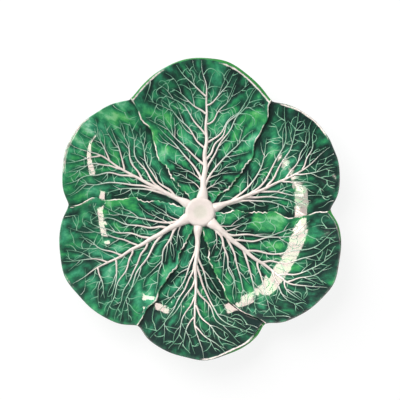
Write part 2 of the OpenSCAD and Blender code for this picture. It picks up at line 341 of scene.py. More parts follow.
def lay_sides(leaf, rng):
    sides = []
    first = 0.04 if leaf.upper else 0.07
    roots = SIDE_ROOTS if leaf.upper else SIDE_ROOTS - 1
    for side in (-1, 1):
        for k in range(roots):
            t = k / (roots - 1)
            s0 = mix(first, 0.68, t) + (0.06 if side > 0 else 0) + rng.uniform(-0.03, 0.03)
            s1 = mix(0.72, 0.92, t) + rng.uniform(-0.05, 0.05)
            reach = mix(0.9, 0.34, t) + rng.uniform(-0.06, 0.06)
            if k and rng.uniform() < 0.6:
                s1 = RIM_END
            bend = rng.uniform(0.6, 0.9)
            s = mix(s0, s1, np.linspace(0, 1, 60))
            path = wobble(run_out(leaf, side, s, reach, bend), 0.9, rng)
            share = np.linspace(0, 1, len(path))
            half = mix(mix(*SIDE_HALF, t) * rng.uniform(0.9, 1.1), SIDE_END_HALF, share ** 0.5)
            sides.append(Vein(path, half, mix(*SIDE_HIGH, share ** 0.6), SIDE))
    return sides


# Short veins leave the foot of an upper leaf's midrib, almost straight to either side
ROOT_VEINS = 2


def lay_root_veins(leaf, rng):
    roots = []
    for side in (-1, 1):
        for k in range(ROOT_VEINS if leaf.upper else 0):
            s0 = 0.03 + 0.08 * k
            reach = rng.uniform(0.66, 0.8)
            s = mix(s0, s0 + rng.uniform(0.16, 0.22), np.linspace(0, 1, 30) ** 1.3)
            path = wobble(run_out(leaf, side, s, reach, 1), 0.5, rng)
            share = np.linspace(0, 1, len(path))
            roots.append(Vein(path, mix(0.8, 0.2, share ** 0.6), mix(0.7, 0.2, share), SIDE))
    return roots


# Forks leave a side vein to either hand and stop before they would run into another vein
FORK_GAP = 2.4
FORK_POINTS = 6


def lay_forks(leaf, parent, veins, rng):
    forks = []
    hand = rng.choice((-1, 1))
    for at, turn in ((rng.uniform(0.3, 0.42), hand), (rng.uniform(0.5, 0.64), -hand), (0.78, hand)):
        others = np.concatenate([v.path for v in veins + forks if v is not parent])
        i = int(at * (len(parent.path) - 1))
        step = parent.path[min(i + 2, len(parent.path) - 1)] - parent.path[i]
        heading = math.atan2(step[1], step[0]) + turn * rng.uniform(0.5, 0.8)
        length = rng.uniform(18, 38)
        points = [parent.path[i]]
        for _ in range(int(length / VEIN_STEP)):
            heading += -turn * 0.5 * VEIN_STEP / length + rng.normal(0, 0.06)
            point = points[-1] + VEIN_STEP * towards(heading)
            s, w = leaf_shares(leaf, point)
            if not (0.04 < w < 0.96 and s < BLADE_END and gaps(others, point).min() > FORK_GAP):
                break
            points.append(point)
        if len(points) >= FORK_POINTS:
            share = np.linspace(0, 1, len(points))
            half = mix(parent.half[i] * 0.7, 0.2, share ** 0.6)
            forks.append(Vein(np.array(points), half, mix(parent.height[i] * 0.7, 0.25, share), SIDE))
    return forks


# Short veins come in from the rim where there is room, thicker where the crest shows white
RIM_VEINS = 4
RIM_VEIN_GAP = 3.5


def lay_rim_veins(leaf, veins, rng):
    added = []
    u = np.linspace(0, 1, 14)
    for k in range(RIM_VEINS):
        s = mix(RIM_END, rng.uniform(0.82, 0.9), u)
        w = (k + rng.uniform(0.2, 0.8)) / RIM_VEINS + rng.uniform(-0.12, 0.12) * u ** 2
        path = wobble(leaf_xy(leaf, s, w), 0.8, rng)
        if min(gaps(v.path, path[6]).min() for v in veins + added) > RIM_VEIN_GAP:
            root = mix(0.3, 0.72, crest_share(leaf, w[0]))
            added.append(Vein(path, mix(root, 0.14, u ** 0.6), mix(0.3, 0.1, u), SIDE))
    return added


# Fine veins bud to either hand of the others and wander into the blade until they meet another vein,
# so that they close into a net. Those that leave a thicker vein bud once more on their way.
TWIG_STEP = 1.2
TWIG_HALF = (0.44, 0.36)
TWIG_END_HALF = 0.24
TWIG_POINTS = 5
BUD_LOOK = 3.4
BUD_ROOM = 2.1
OWN_ROOT = 2.6
MEET_GAP = 1.4


def bud_along(path, depth, rng):
    buds = []
    hand = rng.choice((-1, 1))
    k = rng.uniform(1.5, 4)
    while k < len(path) - 2:
        i = int(k)
        step = path[i + 1] - path[i]
        buds.append((path[i], math.atan2(step[1], step[0]) + hand * rng.uniform(0.6, 1.15), depth))
        hand = -hand
        k += rng.uniform(3.4, 6.2)
    return buds


def wander(leaf, root, heading, away, rng):
    path = [root]
    curl = 0.0
    for _ in range(int(rng.uniform(12, 30) / TWIG_STEP)):
        curl = 0.8 * curl + rng.normal(0, 0.09)
        heading += curl
        point = path[-1] + TWIG_STEP * towards(heading)
        s, w = leaf_shares(leaf, point)
        if not (0.025 < w < 0.975 and s < BLADE_END):
            break
        gap = gaps(away, point)
        if gap.min() < MEET_GAP:
            path.append(away[gap.argmin()])
            break
        path.append(point)
    return np.array(path)


def grow_twigs(leaf, veins, rng):
    taken = np.concatenate([v.path for v in veins])
    buds = [bud for v in veins for bud in bud_along(v.path, 0, rng)]
    twigs = []
    while buds:
        root, heading, depth = buds.pop(0)
        ahead = root + BUD_LOOK * towards(heading)
        s, w = leaf_shares(leaf, ahead)
        if not (0.03 < w < 0.97 and s < 0.94) or gaps(taken, ahead).min() < BUD_ROOM:
            continue
        path = wander(leaf, root, heading, taken[gaps(taken, root) > OWN_ROOT], rng)
        if len(path) < TWIG_POINTS:
            continue
        taken = np.concatenate([taken, path])
        half = mix(TWIG_HALF[depth], TWIG_END_HALF, np.linspace(0, 1, len(path)))
        twigs.append(Vein(path, half, 0.06 + 0.2 * half, TWIG))
        if depth == 0:
            buds += bud_along(path, 1, rng)
    return twigs


def lay_veins(leaf):
    rng = np.random.default_rng(leaf.seed)
    midrib = lay_midrib(leaf, rng)
    sides = lay_sides(leaf, rng) + lay_root_veins(leaf, rng)
    for side_vein in list(sides):
        sides += lay_forks(leaf, side_vein, sides, rng)
    sides += lay_rim_veins(leaf, sides, rng)
    veins = [midrib] + sides
    return veins + grow_twigs(leaf, veins, rng)


# Leaves
# Each blade is a pressed slab with a rolled rim. It puffs up between the veins, as a cabbage leaf does,
# and its free edges and the crest of its rim are raised into a bead that the glaze breaks white on.
EDGE_T = 2.6
LIP_DROP = 1.4
THIN_W = 12.0
BEAD_H = 0.45
EDGE_STEPS = np.array([0, 0.25, 0.5, 0.8, 1.2, 1.7, 2.3, 3.0])
RIM_STEPS = np.append(EDGE_STEPS, [3.8, 4.6, 5.4])
ROWS = 177
COLS = 177
STRIDE = 4

# A lower leaf's tongue runs this far under the upper one, and never further than so many degrees
LAP = 8.0
LAP_MAX_DEG = 7.0
LAP_PLAY_DEG = 0.3


def lap_deg(s):
    return np.minimum(np.degrees(LAP / mix(ROOT_R, NOTCH_R, s)), LAP_MAX_DEG)


# Grids of shares along and across a leaf, closer together at the rim and at free edges
def leaf_grid(leaf):
    rough_s = np.linspace(0, 1, ROWS)
    if leaf.upper:
        edge = EDGE_STEPS[None, :] / leaf_width(leaf, rough_s)[:, None]
        inner = np.linspace(0, 1, COLS - 2 * len(EDGE_STEPS) + 2)[1:-1]
        last = edge[:, -1:]
        w = np.concatenate([edge, mix(last, 1 - last, inner[None, :]), 1 - edge[:, ::-1]], 1)
    else:
        cw, ccw = shown_edges(leaf, rough_s)
        tongue = (lap_deg(rough_s) - LAP_PLAY_DEG) / (ccw - cw)
        w = mix(-tongue[:, None], 1 + tongue[:, None], np.linspace(0, 1, COLS)[None, :])
    length = rim_r(leaf, w) - ROOT_R
    rim_s = 1 - RIM_STEPS[::-1][:, None] / length[-len(RIM_STEPS):]
    inner = np.linspace(0, 1, ROWS - len(RIM_STEPS) + 1)[:-1]
    s = np.concatenate([inner[:, None] * rim_s[:1], rim_s], 0)
    return s, w


def vein_tree(veins):
    tree = KDTree(sum(len(v.path) for v in veins))
    halves = []
    for v in veins:
        for point, half in zip(v.path, v.half):
            tree.insert((point[0], point[1], 0), len(halves))
            halves.append(half)
    tree.balance()
    return tree, halves


def vein_distance(tree_halves, xy):
    tree, halves = tree_halves
    out = np.empty(xy.shape[:-1])
    for i in np.ndindex(out.shape):
        _, k, d = tree.find((xy[i][0], xy[i][1], 0))
        out[i] = d - halves[k]
    return np.maximum(out, 0)


# Width of the rolled lip outside the crest, which wanders round the rim
def lip_width(leaf, w):
    swing = 1 + 0.5 * np.cos(2 * np.pi * (w - 0.2)) + 0.15 * np.sin(2 * np.pi * w * 4.1 + leaf.seed)
    return 0.7 + leaf.lip[2] * swing * within(leaf.lip, w, 0.2)


# A leaf's grid: shares along and across, plan, and each point's distance from the plate's axis, from the
# leaf's edge and rim, and from its thick veins, with the lip's width there
Sheet = namedtuple("Sheet", "s w xy r to_edge to_rim off_main lip_w")


def lay_sheet(leaf, thick_veins):
    s, w = leaf_grid(leaf)
    xy = leaf_xy(leaf, s, w)
    to_edge = np.minimum(w, 1 - w) * leaf_width(leaf, s)
    to_rim = (1 - s) * (rim_r(leaf, w) - ROOT_R)
    off_main = vein_distance(thick_veins, xy)
    return Sheet(s, w, xy, np.hypot(xy[..., 0], xy[..., 1]), to_edge, to_rim, off_main, lip_width(leaf, w))


def rim_roll(sheet):
    return LIP_DROP * (1 - smooth(sheet.to_rim / sheet.lip_w))


def edge_bead(leaf, sheet):
    if not leaf.upper:
        return np.zeros_like(sheet.r)
    return np.exp(-((sheet.to_edge - 0.85) / 0.8) ** 2) * smooth((sheet.r - ROOT_R) / 8)


def upper_face(leaf, sheet, off_any):
    crest = np.exp(-((sheet.to_rim - sheet.lip_w) / 0.9) ** 2)
    blade = blade_z(leaf, sheet.s, sheet.w) + puff_z(leaf, sheet.s, sheet.w, sheet.off_main, off_any)
    z = blade + BEAD_H * crest - rim_roll(sheet)
    if leaf.upper:
        ruffle = frill(leaf, 2, sheet.r) * np.clip(1 - sheet.to_edge / 12, 0, 1) ** 2
        rounded_off = 1 - smooth(sheet.to_edge / 0.9)
        z += BEAD_H * edge_bead(leaf, sheet) + 0.3 * ruffle - rounded_off
    return z


# The underside is even, thins towards the rim, and lies on its neighbours' tongues where it laps them
def under_face(leaf, sheet):
    s, w, xy = (grid[::STRIDE, ::STRIDE] for grid in (sheet.s, sheet.w, sheet.xy))
    body = smooth(sheet.to_rim[::STRIDE, ::STRIDE] / THIN_W)
    blade = blade_z(leaf, s, w)
    rise = blade - dish_z(mix(ROOT_R, rim_r(leaf, w), s))
    z = blade - rim_roll(sheet)[::STRIDE, ::STRIDE] - mix(EDGE_T, LEAF_T + rise, body)
    if leaf.upper:
        cw, ccw = shown_edges(leaf, s)
        on_lap = np.minimum(w, 1 - w) * (ccw - cw) < lap_deg(s)
        z = np.where(on_lap, dish_z(np.hypot(xy[..., 0], xy[..., 1])) + SLIP, z)
    return z


def rotate(xy, degrees):
    cos, sin = math.cos(math.radians(degrees)), math.sin(math.radians(degrees))
    return np.stack([xy[..., 0] * cos - xy[..., 1] * sin, xy[..., 0] * sin + xy[..., 1] * cos], -1)


# The green runs deepest beside the thick veins. Part of this is glaze pooled in the hollows, and part is
# painted shade, shifted by this offset in millimetres so that it lies on each vein's side away from the key
# light.
# Towards the rim each leaf's green darkens by its own share, and part of that is painted light and shade:
# the upper left leaf is kept light as if lit, and the right-hand and bottom leaves are painted darkest.
LIGHT_SIDE = np.array((-0.9, 0.7))
RIM_SHADE = {"top": 0.3, "lower_left": 0.21, "lower_right": 0.42,
             "upper_left": -0.08, "bottom": 0.46, "upper_right": 0.44}


def depth_and_painted_shade(leaf, sheet, thick_veins):
    # Darker towards the stalk and beside the thick veins, and lighter in the middle of each cell between
    # them. An upper leaf is a little darker just inside its edge near the stalk. A lower leaf gets a
    # painted shadow along the edges of the upper leaves that lie over it.
    near = 1 - smooth((sheet.r - 30) / 80)
    off_shadow_side = vein_distance(thick_veins, sheet.xy + rotate(LIGHT_SIDE, -leaf.axis))
    pooled_and_shaded = np.exp(-(off_shadow_side / 2.0) ** 2) * (0.25 + 0.75 * near)
    cell = smooth(sheet.off_main / 7)
    at_rim = RIM_SHADE[leaf.place] * smooth((sheet.s - 0.6) / 0.32)
    shade = 0.52 - 0.3 * cell + 0.6 * pooled_and_shaded + at_rim + 0.08 * near
    if leaf.upper:
        return shade + 0.1 * np.exp(-((sheet.to_edge - 3.2) / 2.2) ** 2) * near
    return shade + (0.02 + 0.7 * np.exp(-np.maximum(sheet.to_edge, 0) / 4.0))


def lip_share(sheet):
    return (1 - smooth((sheet.to_rim - sheet.lip_w + 1.0) / 0.7)) * smooth((sheet.lip_w - 1.0) / 0.8)


# The white of a free edge comes and goes as the green was brushed over it: strength and length
BRUSHED = ((0.34, 31), (0.2, 12))


def broken_edge(leaf, w, r):
    phase = leaf.seed * 2.1 + np.where(w > 0.5, 0, 2.5)
    return 0.72 + waves(BRUSHED, r, (phase, 2 * phase))


# White shows on the bead of a free edge, along the crest, and in a knot where a side vein ends at the rim
KNOT_S = 0.975


def white_share(leaf, veins, sheet):
    crest = crest_share(leaf, sheet.w)
    on_crest = np.exp(-((sheet.to_rim - sheet.lip_w - 0.4) / 1.2) ** 2) * crest
    white = np.maximum(edge_bead(leaf, sheet) * broken_edge(leaf, sheet.w, sheet.r), on_crest)
    ends = [v.path[end] for v in veins if v.order == SIDE for end in (0, -1)]
    for knot in [end for end in ends if leaf_shares(leaf, end)[0] > KNOT_S]:
        outward = knot / np.hypot(*knot)
        gap = sheet.xy - knot
        radial = gap @ outward
        around = gap @ np.array([-outward[1], outward[0]])
        spread = np.exp(-((radial - 0.6) / 1.1) ** 2 - (around / 2.0) ** 2)
        white = np.maximum(white, spread * (1 - lip_share(sheet)) * crest)
    return white


def new_object(name, points, faces, attributes, rounded=None):
    mesh = bpy.data.meshes.new(name)
    mesh.from_pydata((np.asarray(points) * MM).tolist(), [], faces)
    for key, values in attributes.items():
        mesh.attributes.new(key, "FLOAT", "POINT").data.foreach_set("value", np.asarray(values, np.float32))
    mesh.update()
    mesh.polygons.foreach_set("use_smooth", rounded or [True] * len(mesh.polygons))
    piece = bpy.data.objects.new(name, mesh)
    bpy.context.scene.collection.objects.link(piece)
    return piece


# The side of a slab, between the fine edge of its upper face and the coarser edge of its underside
def strip(top, under, flip):
    faces = []
    half = STRIDE // 2
    for k in range(len(under) - 1):
        run = top[k * STRIDE:(k + 1) * STRIDE + 1]
        faces += [(under[k], run[i + 1], run[i]) for i in range(half)]
        faces += [(under[k + 1], run[i + 1], run[i]) for i in range(half, STRIDE)]
        faces.append((under[k], under[k + 1], run[half]))
    return [f[::-1] for f in faces] if flip else faces


def slab_faces(under_shape):
    top = np.arange(ROWS * COLS).reshape(ROWS, COLS)
    low = ROWS * COLS + np.arange(math.prod(under_shape)).reshape(under_shape)
    above = np.stack([top[:-1, :-1], top[1:, :-1], top[1:, 1:], top[:-1, 1:]], -1).reshape(-1, 4)
    below = np.stack([low[:-1, :-1], low[:-1, 1:], low[1:, 1:], low[1:, :-1]], -1).reshape(-1, 4)
    sides = strip(top[:, 0], low[:, 0], False) + strip(top[:, -1], low[:, -1], True)
    ends = strip(top[0], low[0], True) + strip(top[-1], low[-1], False)
    return above.tolist() + below.tolist() + sides + ends


# Lengths that lay the brush strokes out along and across a blade, and the depth of green underneath
BLADE_LONG = 130
BLADE_WIDE = 80
UNDER_SHADE = 0.45


def press_leaf(leaf, veins, thick_veins):
    sheet = lay_sheet(leaf, thick_veins)
    z = upper_face(leaf, sheet, vein_distance(vein_tree(veins), sheet.xy))
    under_z = under_face(leaf, sheet)
    under_s, under_w, under_xy = (grid[::STRIDE, ::STRIDE] for grid in (sheet.s, sheet.w, sheet.xy))
    top = np.concatenate([rotate(sheet.xy, leaf.axis), z[..., None]], -1)
    under = np.concatenate([rotate(under_xy, leaf.axis), under_z[..., None]], -1)
    points = np.concatenate([top.reshape(-1, 3), under.reshape(-1, 3)])
    plain = np.zeros(under_z.size)
    # shade holds the glaze's depth together with its painted shade and shadow
    attributes = {
        "shade": np.concatenate([depth_and_painted_shade(leaf, sheet, thick_veins).ravel(), plain + UNDER_SHADE]),
        "white": np.concatenate([white_share(leaf, veins, sheet).ravel(), plain]),
        "lip": np.concatenate([lip_share(sheet).ravel(), plain + 1.0]),
        "along": np.concatenate([sheet.s.ravel(), under_s.ravel()]) * BLADE_LONG,
        "across": np.concatenate([sheet.w.ravel(), under_w.ravel()]) * BLADE_WIDE,
    }
    return new_object("leaf_" + leaf.place + "_pressed", points, slab_faces(under_z.shape), attributes)


def colour(code):
    parts = [int(code[i:i + 2], 16) / 255 for i in (1, 3, 5)]
    return tuple(p / 12.92 if p <= 0.04045 else ((p + 0.055) / 1.055) ** 2.4 for p in parts) + (1.0,)


def add(tree, kind, inputs, stops=(), **settings):
    node = tree.nodes.new("ShaderNode" + kind)
    for key, value in settings.items():
        setattr(node, key, value)
    for socket, value in inputs.items():
        if isinstance(value, bpy.types.NodeSocket):
            tree.links.new(value, node.inputs[socket])
        else:
            node.inputs[socket].default_value = value
    for k, (place, code) in enumerate(stops):
        while len(node.color_ramp.elements) <= k:
            node.color_ramp.elements.new(1.0)
        node.color_ramp.elements[k].position = place
        node.color_ramp.elements[k].color = colour(code)
    return node


def new_material(name):
    material = bpy.data.materials.new(name)
    material.use_nodes = True
    tree = material.node_tree
    tree.nodes.clear()
    return material, tree


def per_metre(size_mm):
    return 1 / (size_mm * MM)


# Green majolica glaze, a coloured lead glaze brushed over tin white. It pools dark in the hollows beside
# the veins, thins to bright green on the puffs, breaks to white on beads and crests, and fires to a gloss.
# Its shade attribute also holds painted shade: a painted shadow beside each vein on its side away from the
# key light, another on the lower leaves along the upper leaves' edges, and a rim darkening that is partly
# painted shade.
# A brush stroke is about 11 mm long and 3 mm wide.
STROKES_PER_MM = (0.09, 0.3, 1.0)
green_glaze, tree = new_material("green_majolica_glaze")
place = add(tree, "TexCoord", {}).outputs["Object"]
shade = add(tree, "Attribute", {}, attribute_name="shade").outputs["Fac"]
white = add(tree, "Attribute", {}, attribute_name="white").outputs["Fac"]
lip = add(tree, "Attribute", {}, attribute_name="lip").outputs["Fac"]
along = add(tree, "Attribute", {}, attribute_name="along").outputs["Fac"]
across = add(tree, "Attribute", {}, attribute_name="across").outputs["Fac"]
brush = add(tree, "CombineXYZ", {"X": along, "Y": across})
stretched = add(tree, "VectorMath", {0: brush.outputs[0], 1: STROKES_PER_MM}, operation="MULTIPLY")
stroke = add(tree, "TexNoise", {"Vector": stretched.outputs[0], "Scale": 1.0, "Detail": 4.0,
                                "Roughness": 0.6})
patch = add(tree, "TexNoise", {"Vector": place, "Scale": per_metre(15), "Detail": 5.0, "Roughness": 0.62})
cloud = add(tree, "TexNoise", {"Vector": place, "Scale": per_metre(34), "Detail": 2.0, "Roughness": 0.5})
speck = add(tree, "TexNoise", {"Vector": place, "Scale": per_metre(4), "Detail": 3.0, "Roughness": 0.6})
uneven = add(tree, "Math", {0: stroke.outputs[0], 1: -0.5}, operation="ADD")
mottle = add(tree, "Math", {0: patch.outputs[0], 1: -0.5}, operation="ADD")
# Brush strokes laid over the shade attribute, which holds the glaze's depth and its painted shade and
# shadow
strokes_and_shade = add(tree, "Math", {0: uneven.outputs[0], 1: 1.0, 2: shade}, operation="MULTIPLY_ADD")
depth = add(tree, "Math", {0: mottle.outputs[0], 1: 1.3, 2: strokes_and_shade.outputs[0]}, operation="MULTIPLY_ADD")
blue_green = add(tree, "ValToRGB", {"Fac": depth.outputs[0]}, stops=(
    (0.0, "#8bc2a4"), (0.18, "#50a67c"), (0.38, "#328864"), (0.56, "#266c4f"),
    (0.74, "#204b3b"), (0.9, "#1b3b31"), (1.0, "#162c29")))
leaf_green = add(tree, "ValToRGB", {"Fac": depth.outputs[0]}, stops=(
    (0.0, "#75ba7b"), (0.18, "#45a359"), (0.38, "#2c874e"), (0.56, "#216947"),
    (0.74, "#1c4b38"), (0.9, "#18392e"), (1.0, "#152b25")))
warmer = add(tree, "MapRange", {"Value": cloud.outputs[0], "From Min": 0.4, "From Max": 0.6})
body = add(tree, "Mix", {0: warmer.outputs[0], 6: blue_green.outputs[0], 7: leaf_green.outputs[0]},
           data_type="RGBA")
lip_green = add(tree, "Mix", {0: speck.outputs[0], 6: colour("#1c6a31"), 7: colour("#449549")},
                data_type="RGBA")
lipped = add(tree, "Mix", {0: lip, 6: body.outputs[2], 7: lip_green.outputs[2]}, data_type="RGBA")
broken = add(tree, "Math", {0: speck.outputs[0], 1: 0.9, 2: white}, operation="MULTIPLY_ADD")
breaks = add(tree, "MapRange", {"Value": broken.outputs[0], "From Min": 0.85, "From Max": 1.25})
beaded = add(tree, "Mix", {0: breaks.outputs[0], 6: lipped.outputs[2], 7: colour("#f3e8e0")},
             data_type="RGBA")

# The glaze drains off the wall, so from the turn outward its surface swells less than in the well
swell = add(tree, "TexNoise", {"Vector": place, "Scale": per_metre(9), "Detail": 1.0})
drained = add(tree, "MapRange", {"Value": along, "From Min": 72.0, "From Max": 90.0,
                                 "To Min": 0.2, "To Max": 0.05})
flow = add(tree, "Bump", {"Height": swell.outputs[0], "Strength": drained.outputs[0], "Distance": 0.6 * MM})
gloss = add(tree, "MapRange", {"Value": speck.outputs[0], "To Min": 0.03, "To Max": 0.06})
glaze = add(tree, "BsdfPrincipled", {"Base Color": beaded.outputs[2], "Roughness": gloss.outputs[0],
                                     "IOR": 1.55, "Normal": flow.outputs[0]})
add(tree, "OutputMaterial", {"Surface": glaze.outputs[0]})

layouts = {}
leaf_pieces = {}
for leaf in LEAVES:
    veins = lay_veins(leaf)
    thick_veins = vein_tree([v for v in veins if v.order != TWIG])
    layouts[leaf.place] = (veins, thick_veins)
    piece = press_leaf(leaf, veins, thick_veins)
    piece.data.materials.append(green_glaze)
    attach(piece, "root")
    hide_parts("leaf_" + leaf.place)
    leaf_pieces[leaf.place] = piece


# Midribs and side veins
# Round-backed coils of the same clay, thick at the stalk and drawn out to nothing at the rim. They are
# left white under a clear glaze, and the finest ones take a little of the green that flows over them.

# Sections of a coil, in half widths across and heights up. A fine vein's is flat, with its top at LOW_TOP.
RIDGE = np.array([(-1, -1), (-1, 0), (-0.82, 0.58), (-0.42, 0.91), (0, 1),
                  (0.42, 0.91), (0.82, 0.58), (1, 0), (1, -1)])
LOW_RIDGE = np.array([(-1, -1), (-1, 0), (-0.8, 0.8), (0.8, 0.8), (1, 0), (1, -1)])
LOW_TOP = 2
SUNK = 0.6
END_SHARE = 0.35

# How far the green veils a vein, at its root and its tip: white up to about a third, and full green at 1
VEIL = {MIDRIB: (-0.6, 0.62), SIDE: (0.0, 0.86), TWIG: (0.62, 0.9)}
THIN_SIDE = 0.7


def vein_veil(v, s):
    veil = mix(*VEIL[v.order], np.linspace(0, 1, len(v.path)))
    if v.order == SIDE and v.half[0] < THIN_SIDE:
        veil = 0.35 + 0.65 * veil
    if v.order != MIDRIB:
        veil = veil + 0.13 * smooth((s.mean(1) - 0.5) / 0.4)
    return veil


def lay_ridges(name, leaf, veins, thick_veins):
    points, faces, rounded, thin = [], [], [], []
    for v in veins:
        section = LOW_RIDGE if v.order == TWIG else RIDGE
        count = len(section)
        half = v.half.copy()
        half[-1] *= END_SHARE
        sideways = left_of(v.path)[:, None] * half[:, None, None]
        xy = v.path[:, None] + sideways * section[:, :1]
        s, w = leaf_shares(leaf, xy)
        base = blade_z(leaf, s, w) + puff_z(leaf, s, w, vein_distance(thick_veins, xy), 0)
        lift = np.where(section[:, 1] < 0, -SUNK, v.height[:, None] * section[:, 1])
        rings = np.concatenate([rotate(xy, leaf.axis), (base + lift)[..., None]], -1)
        first = len(points)
        points += rings.reshape(-1, 3).tolist()
        thin += np.repeat(vein_veil(v, s), count).tolist()
        last = first + (len(v.path) - 1) * count
        for here in range(first, last, count):
            there = here + count
            faces += [(here + k, here + (k + 1) % count, there + (k + 1) % count, there + k)
                      for k in range(count)]
            rounded += [v.order != TWIG or k == LOW_TOP for k in range(count)]
        faces.append(tuple(first + k for k in range(count))[::-1])
        faces.append(tuple(last + k for k in range(count)))
        rounded += [False, False]
    return new_object(name, points, faces, {"thin": thin}, rounded)


# Tin-white glaze, warm and a little uneven, with a softer gloss than the green. Where the green thins over
# it the white turns pale green, and it takes on the green's harder gloss.
white_glaze, tree = new_material("tin_white_glaze")
place = add(tree, "TexCoord", {}).outputs["Object"]
thin = add(tree, "Attribute", {}, attribute_name="thin").outputs["Fac"]
tint = add(tree, "TexNoise", {"Vector": place, "Scale": per_metre(11), "Detail": 3.0, "Roughness": 0.6})
warm = add(tree, "ValToRGB", {"Fac": tint.outputs[0]}, stops=(
    (0.3, "#dacdc6"), (0.5, "#e3d7d0"), (0.7, "#ebe0d9")))
patchy = add(tree, "Math", {0: tint.outputs[0], 1: -0.5}, operation="ADD")
flowed = add(tree, "Math", {0: patchy.outputs[0], 1: 0.5, 2: thin}, operation="MULTIPLY_ADD")
veil = add(tree, "ValToRGB", {"Fac": flowed.outputs[0]}, stops=(
    (0.3, "#e0d6ce"), (0.5, "#c4d3c6"), (0.75, "#86b89a"), (1.0, "#5c9a78")))
veiled = add(tree, "MapRange", {"Value": flowed.outputs[0], "From Min": 0.25, "From Max": 0.4})
greened = add(tree, "Mix", {0: veiled.outputs[0], 6: warm.outputs[0], 7: veil.outputs[0]}, data_type="RGBA")
grit = add(tree, "TexNoise", {"Vector": place, "Scale": per_metre(2.5), "Detail": 2.0})
skin = add(tree, "Bump", {"Height": grit.outputs[0], "Strength": 0.1, "Distance": 0.3 * MM})
polish = add(tree, "MapRange", {"Value": thin, "To Min": 0.22, "To Max": 0.08})
coat = add(tree, "BsdfPrincipled", {"Base Color": greened.outputs[2], "Roughness": polish.outputs[0],
                                    "IOR": 1.5, "Normal": skin.outputs[0]})
add(tree, "OutputMaterial", {"Surface": coat.outputs[0]})

vein_pieces = {}
for leaf in LEAVES:
    veins, thick_veins = layouts[leaf.place]
    midrib = lay_ridges("midrib_" + leaf.place + "_rolled", leaf, veins[:1], thick_veins)
    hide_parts("midrib_" + leaf.place)
    sides = lay_ridges("side_veins_" + leaf.place + "_rolled", leaf, veins[1:], thick_veins)
    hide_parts("side_veins_" + leaf.place)
    vein_pieces[leaf.place] = (midrib, sides)
    for piece in (midrib, sides):
        piece.data.materials.append(white_glaze)
        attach(piece, "root")


# Stalk
# The cut end of the cabbage's stalk: a turned plug of clay with a softly rounded edge and a dished face,
# under the same white glaze, which gathers a little green and grey in the middle of the dish.
STALK_RISE = 4.0
STALK_ROUND = 3.0
STALK_SEAT = 0.2
DIMPLE = 0.7
PITH_R = 5
PITH_FADE = 4
ROUND_STEPS = 8
DIMPLE_STEPS = 16
STALK_SPOKES = 96
stalk_top = FLOOR_Z + STALK_RISE
stalk_foot = FOOT_H + STALK_SEAT
flat_r = STALK_R - STALK_ROUND
shoulder = stalk_top - STALK_ROUND
profile = [(STALK_R, stalk_foot), (STALK_R, shoulder)]
for k in range(1, ROUND_STEPS + 1):
    a = math.radians(90 * k / ROUND_STEPS)
    profile.append((flat_r + STALK_ROUND * math.cos(a), shoulder + STALK_ROUND * math.sin(a)))
for k in range(1, DIMPLE_STEPS):
    t = k / DIMPLE_STEPS
    profile.append((flat_r * (1 - t), stalk_top - DIMPLE * float(smooth(t * 1.3))))
points, faces, core = [], [], []
for r, z in profile:
    for k in range(STALK_SPOKES):
        a = 2 * math.pi * k / STALK_SPOKES
        lump = (0.05 * math.sin(3 * a + 0.5) + 0.04 * math.sin(7 * a)) * r / STALK_R
        points.append((r * math.cos(a), r * math.sin(a), z + lump * (z > stalk_top - 1.5)))
        core.append(1 - float(smooth((r - PITH_R) / PITH_FADE)))
for i in range(len(profile) - 1):
    for k in range(STALK_SPOKES):
        a, b = i * STALK_SPOKES, (i + 1) * STALK_SPOKES
        n = (k + 1) % STALK_SPOKES
        faces.append((a + k, a + n, b + n, b + k))
points.append((0, 0, stalk_top - DIMPLE))
points.append((0, 0, stalk_foot))
core += [1.0, 0.0]
last = (len(profile) - 1) * STALK_SPOKES
for k in range(STALK_SPOKES):
    n = (k + 1) % STALK_SPOKES
    faces.append((last + k, last + n, len(points) - 2))
    faces.append((n, k, len(points) - 1))
stalk = new_object("stalk_cut", points, faces, {"core": core})

# White glaze over the cut, satin because it lies thick, and greyer where it gathers over the pith
stalk_glaze, tree = new_material("stalk_white_glaze")
place = add(tree, "TexCoord", {}).outputs["Object"]
core = add(tree, "Attribute", {}, attribute_name="core").outputs["Fac"]
grain = add(tree, "TexNoise", {"Vector": place, "Scale": per_metre(5), "Detail": 4.0, "Roughness": 0.65})
cream = add(tree, "ValToRGB", {"Fac": grain.outputs[0]}, stops=((0.3, "#d9cdc6"), (0.7, "#e3d7d0")))
pith = add(tree, "ValToRGB", {"Fac": grain.outputs[0]}, stops=((0.3, "#ccc6b9"), (0.7, "#d5cfc3")))
cut = add(tree, "Mix", {0: core, 6: cream.outputs[0], 7: pith.outputs[0]}, data_type="RGBA")
skin = add(tree, "Bump", {"Height": grain.outputs[0], "Strength": 0.15, "Distance": 0.3 * MM})
coat = add(tree, "BsdfPrincipled", {"Base Color": cut.outputs[2], "Roughness": 0.25, "IOR": 1.5,
                                    "Normal": skin.outputs[0]})
add(tree, "OutputMaterial", {"Surface": coat.outputs[0]})
stalk.data.materials.append(stalk_glaze)
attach(stalk, "root")
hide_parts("stalk")


# Foot ring
# Turned under the well once the leaves have stiffened. Its standing edge is wiped clean of glaze before
# the firing, so the buff clay shows there, and the green runs a little way down its sides.

